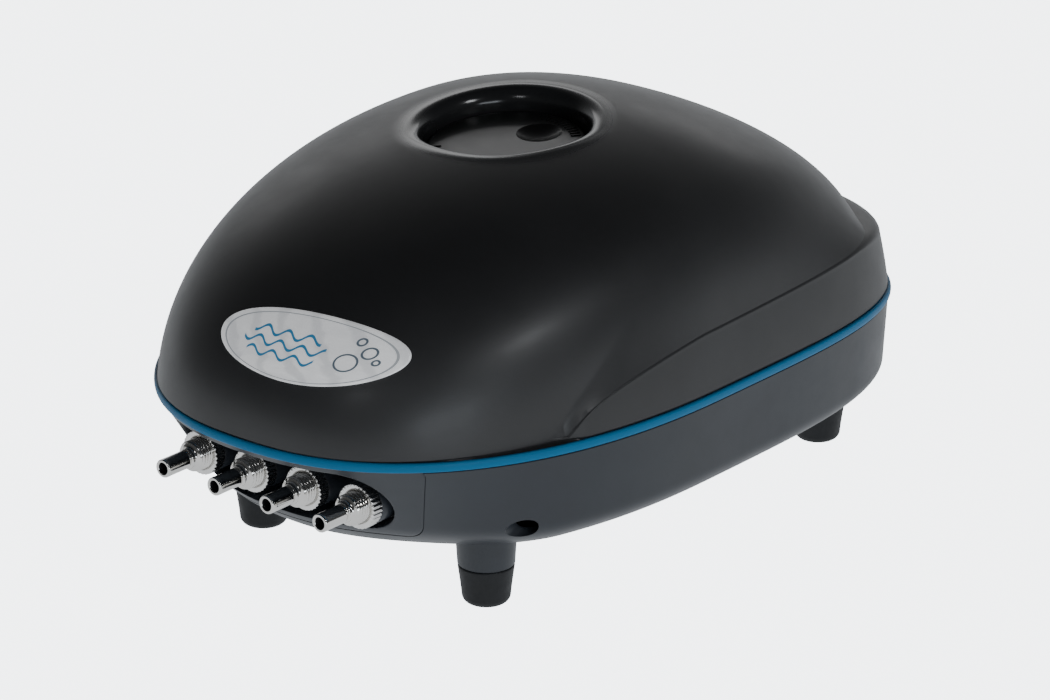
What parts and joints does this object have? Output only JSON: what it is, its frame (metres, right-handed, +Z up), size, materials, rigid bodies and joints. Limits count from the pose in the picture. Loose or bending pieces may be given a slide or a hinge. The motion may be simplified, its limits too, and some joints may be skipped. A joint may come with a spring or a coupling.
{
  "type": "air pump",
  "caption": "Egg-shaped aquarium air pump with a flow dial on top, a row of push-on air outlets at the front and rubber feet.",
  "frame": {"origin": "on the floor, midway between the four feet", "axes": "+Z up, outlets at the front towards -Y, +X to the pump's own left when it faces -Y, which is the right side seen from the front"},
  "size_m": [0.147, 0.2432, 0.1101],
  "materials": {
    "shell": "satin to gloss black",
    "base": "satin slate grey",
    "trim": "gloss blue",
    "badge": "brushed foil",
    "nickel": "bright nickel plate",
    "foot": "matt",
    "rubber": "matt",
    "steel": "zinc plated",
    "nylon": "natural nylon",
    "board": "solder mask",
    "capacitor": "gloss",
    "heatsink": "plain",
    "potentiometer": "satin",
    "lamination": "oiled sheet edges",
    "winding": "enamelled copper wire",
    "spacer": "turned",
    "arm": "pressed sheet",
    "magnet": "sintered ferrite",
    "flap": "matt",
    "hose": "clear soft PVC, shown pale",
    "felt": "felt",
    "cord": "satin"
  },
  "bodies": {
    "housing": {"upper_housing": "shell", "trim_band": "trim", "lower_housing": "base", "outlet_faceplate": "base", "badge_plate": "badge", "outlet_nipple_1": "nickel", "outlet_nipple_2": "nickel", "outlet_nipple_3": "nickel", "outlet_nipple_4": "nickel", "outlet_lock_nuts": "nickel", "outlet_o_rings": "rubber", "air_manifold": "nylon", "foot_boot_front_left": "foot", "foot_boot_front_right": "foot", "foot_boot_rear_left": "foot", "foot_boot_rear_right": "foot", "housing_screws": "steel", "potentiometer": "potentiometer", "potentiometer_nut": "steel", "control_board": "board", "board_screws": "steel", "board_capacitor": "capacitor", "triac_heatsink": "heatsink", "chassis_plate": "steel", "chassis_isolators": "rubber", "core_laminations": "lamination", "coil_bobbin": "nylon", "coil_winding": "winding", "core_bolts": "steel", "core_spacers": "spacer", "arm_pivot_pins": "steel", "arm_pivot_blocks": "nylon", "diaphragm_left": "rubber", "diaphragm_right": "rubber", "chamber_body_left": "nylon", "chamber_body_right": "nylon", "valve_plate_left": "nylon", "valve_plate_right": "nylon", "chamber_gaskets": "rubber", "chamber_cover_left": "nylon", "chamber_cover_right": "nylon", "chamber_screws": "steel", "air_hoses": "hose", "filter_felt": "felt", "power_cord": "cord", "cord_strain_relief": "cord"},
    "dial": {"control_dial": "shell", "dial_spindle": "steel"},
    "arm_left": {"swing_arm_left": "arm", "arm_magnet_left": "magnet", "diaphragm_clamp_left": "steel"},
    "arm_right": {"swing_arm_right": "arm", "arm_magnet_right": "magnet", "diaphragm_clamp_right": "steel"},
    "inlet_valve_left": {"inlet_flap_left": "flap"},
    "inlet_valve_right": {"inlet_flap_right": "flap"},
    "outlet_valve_left": {"outlet_flap_left": "flap"},
    "outlet_valve_right": {"outlet_flap_right": "flap"},
    "filter_hatch": {"filter_cover": "base"}
  },
  "joints": [
    {"name": "dial_turn", "type": "hinge", "parent": "housing", "child": "dial", "pos_m": [0, -0.0169, 0.1015], "axis": [0, -0.0872, 0.9962], "range_deg": [-135, 135]},
    {"name": "arm_right_swing", "type": "hinge", "parent": "housing", "child": "arm_right", "pos_m": [0.025, -0.054, 0.052], "axis": [0, 0, 1], "range_deg": [-2, 2], "deforming": ["diaphragm_right"]},
    {"name": "arm_left_swing", "type": "hinge", "parent": "housing", "child": "arm_left", "pos_m": [-0.025, -0.054, 0.052], "axis": [0, 0, 1], "range_deg": [-2, 2], "deforming": ["diaphragm_left"]},
    {"name": "inlet_flap_right_open", "type": "hinge", "parent": "housing", "child": "inlet_valve_right", "pos_m": [0.045, -0.02, 0.057], "axis": [0, 1, 0], "range_deg": [0, 12]},
    {"name": "inlet_flap_left_open", "type": "hinge", "parent": "housing", "child": "inlet_valve_left", "pos_m": [-0.045, -0.02, 0.057], "axis": [0, -1, 0], "range_deg": [0, 12]},
    {"name": "outlet_flap_right_open", "type": "hinge", "parent": "housing", "child": "outlet_valve_right", "pos_m": [0.048, -0.036, 0.057], "axis": [0, -1, 0], "range_deg": [0, 12]},
    {"name": "outlet_flap_left_open", "type": "hinge", "parent": "housing", "child": "outlet_valve_left", "pos_m": [-0.048, -0.036, 0.057], "axis": [0, 1, 0], "range_deg": [0, 12]},
    {"name": "filter_cover_release", "type": "slide", "parent": "housing", "child": "filter_hatch", "axis": [0, 0, -1], "range_m": [0, 0.02]}
  ],
  "couplings": [
    {"joint": "arm_left_swing", "follows": "arm_right_swing", "ratio": -1}
  ]
}
